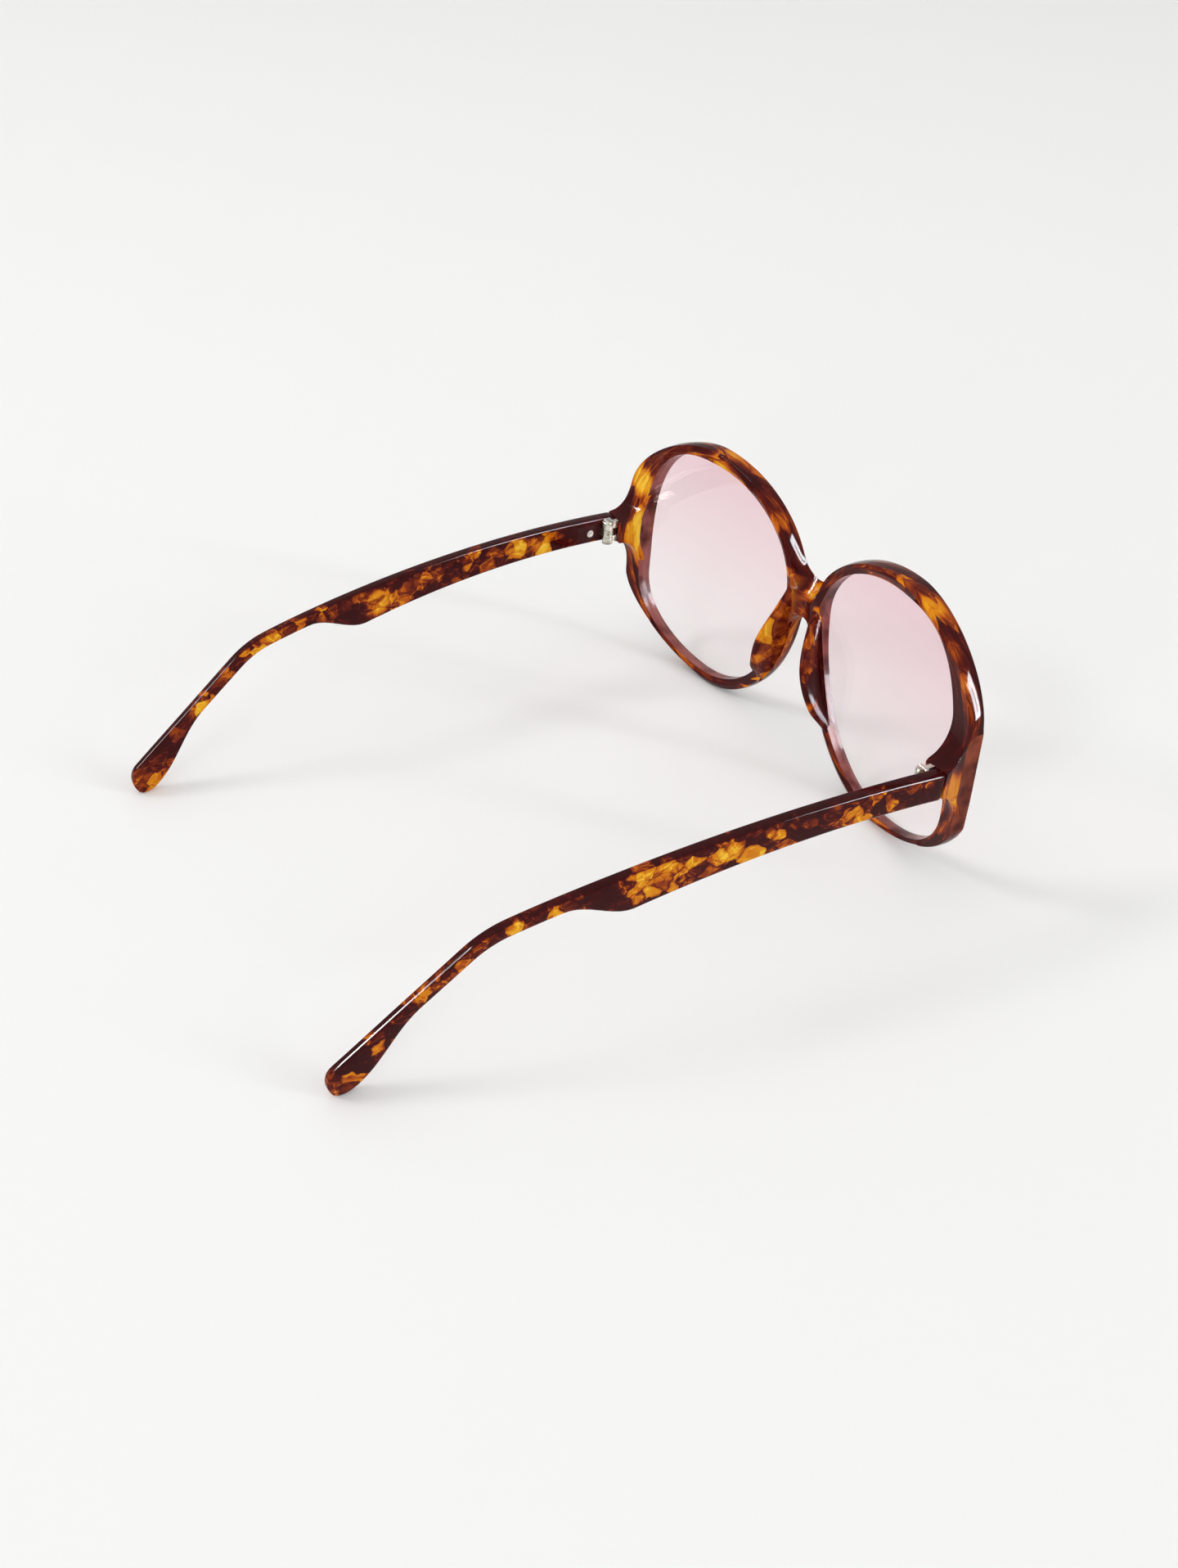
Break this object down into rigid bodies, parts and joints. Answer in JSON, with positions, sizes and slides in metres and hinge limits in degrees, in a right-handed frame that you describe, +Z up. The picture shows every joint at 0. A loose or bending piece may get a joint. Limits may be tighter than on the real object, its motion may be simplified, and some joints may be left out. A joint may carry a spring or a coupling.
{
  "type": "sunglasses",
  "caption": "Oversized oval plastic sunglasses with glued nose pads, gradient lenses and folding temples with a bump, a bend and a paddle tip.",
  "frame": {"origin": "centre of the bounding box's underside, on the table that the open glasses stand on", "axes": "+X to the wearer's left, -Y the way the wearer looks, +Z up"},
  "size_m": [0.136, 0.1546, 0.0649],
  "materials": {
    "tortoiseshell": "polished, mottled with amber and maroon",
    "lens_pink": "clear, tinted pink at the top",
    "hinge_metal": "satin",
    "screw_metal": "polished"
  },
  "bodies": {
    "front": {"front_frame": "tortoiseshell", "lens_left": "lens_pink", "lens_right": "lens_pink", "nose_pad_left": "tortoiseshell", "nose_pad_right": "tortoiseshell", "front_hinge_left": "hinge_metal", "front_hinge_right": "hinge_metal", "hinge_screw_left": "screw_metal", "hinge_screw_right": "screw_metal"},
    "left_temple": {"temple_left": "tortoiseshell", "temple_hinge_left": "hinge_metal", "hinge_rivet_left": "screw_metal"},
    "right_temple": {"temple_right": "tortoiseshell", "temple_hinge_right": "hinge_metal", "hinge_rivet_right": "screw_metal"}
  },
  "joints": [
    {"name": "fold_left_temple", "type": "hinge", "parent": "front", "child": "left_temple", "pos_m": [0.0633, -0.05736, 0.0339], "axis": [0, 0, 1], "range_deg": [0, 90]},
    {"name": "fold_right_temple", "type": "hinge", "parent": "front", "child": "right_temple", "pos_m": [-0.0633, -0.05736, 0.0339], "axis": [0, 0, 1], "range_deg": [-83, 0]}
  ]
}
